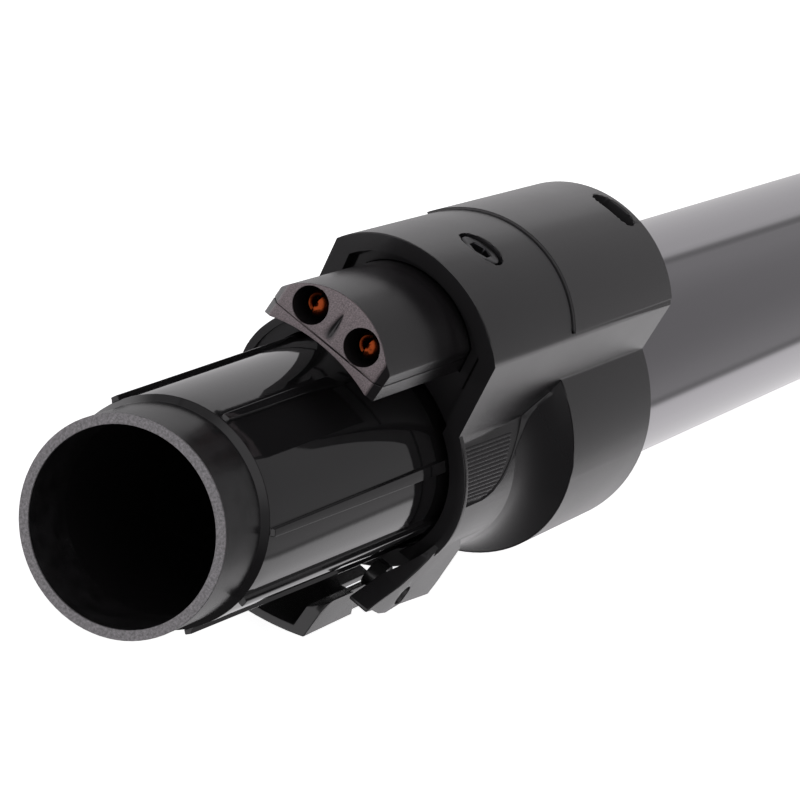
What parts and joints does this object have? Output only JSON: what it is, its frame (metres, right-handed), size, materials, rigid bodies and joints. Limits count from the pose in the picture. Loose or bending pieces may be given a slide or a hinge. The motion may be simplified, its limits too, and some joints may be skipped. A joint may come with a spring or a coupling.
{
  "type": "vacuum extension wand",
  "caption": "Electrified vacuum wand: ribbed spigot with a contact block and latch lever, polished tube, and a socket with contact pins at the far end.",
  "frame": {"origin": "centre of the spigot's open end, on the wand's axis", "axes": "+X along the wand to the far socket, +Z to the contact side, away from the surface it lies on"},
  "size_m": [0.5, 0.0486, 0.0611],
  "materials": {
    "gloss_black": "gloss",
    "satin_charcoal": "satin",
    "cover_charcoal": "satin",
    "block_black": "satin",
    "copper": "bright",
    "black_screw": "black oxide",
    "lever_black": "satin",
    "steel": "bright",
    "gunmetal": "polished gunmetal",
    "liner_grey": "matte",
    "wire_red": "matte",
    "wire_black": "matte",
    "seal_rubber": "matte",
    "brass": "bright"
  },
  "bodies": {
    "wand": {"spigot": "gloss_black", "bell_housing": "satin_charcoal", "rear_cover": "cover_charcoal", "contact_cap": "block_black", "contact_base": "block_black", "contact_left": "copper", "contact_right": "copper", "block_screw": "black_screw", "hinge_pins": "steel", "latch_spring": "steel", "wand_tube": "gunmetal", "liner_tube": "liner_grey", "wire_left": "wire_red", "wire_right": "wire_black", "tube_screws": "steel", "liner_seals": "seal_rubber", "socket_sleeve": "gloss_black", "socket_housing": "satin_charcoal", "socket_cover": "cover_charcoal", "pin_block": "block_black", "pin_left": "brass", "pin_right": "brass", "pin_block_screw": "black_screw"},
    "latch": {"latch_lever": "lever_black"}
  },
  "joints": [
    {"name": "latch_hinge", "type": "hinge", "parent": "wand", "child": "latch", "pos_m": [0.0742, 0, -0.0131], "axis": [0, -1, 0], "range_deg": [0, 4.5], "stiffness_Nm_per_rad": 0.4, "springref_deg": -6.88, "deforming": ["latch_spring"]}
  ]
}
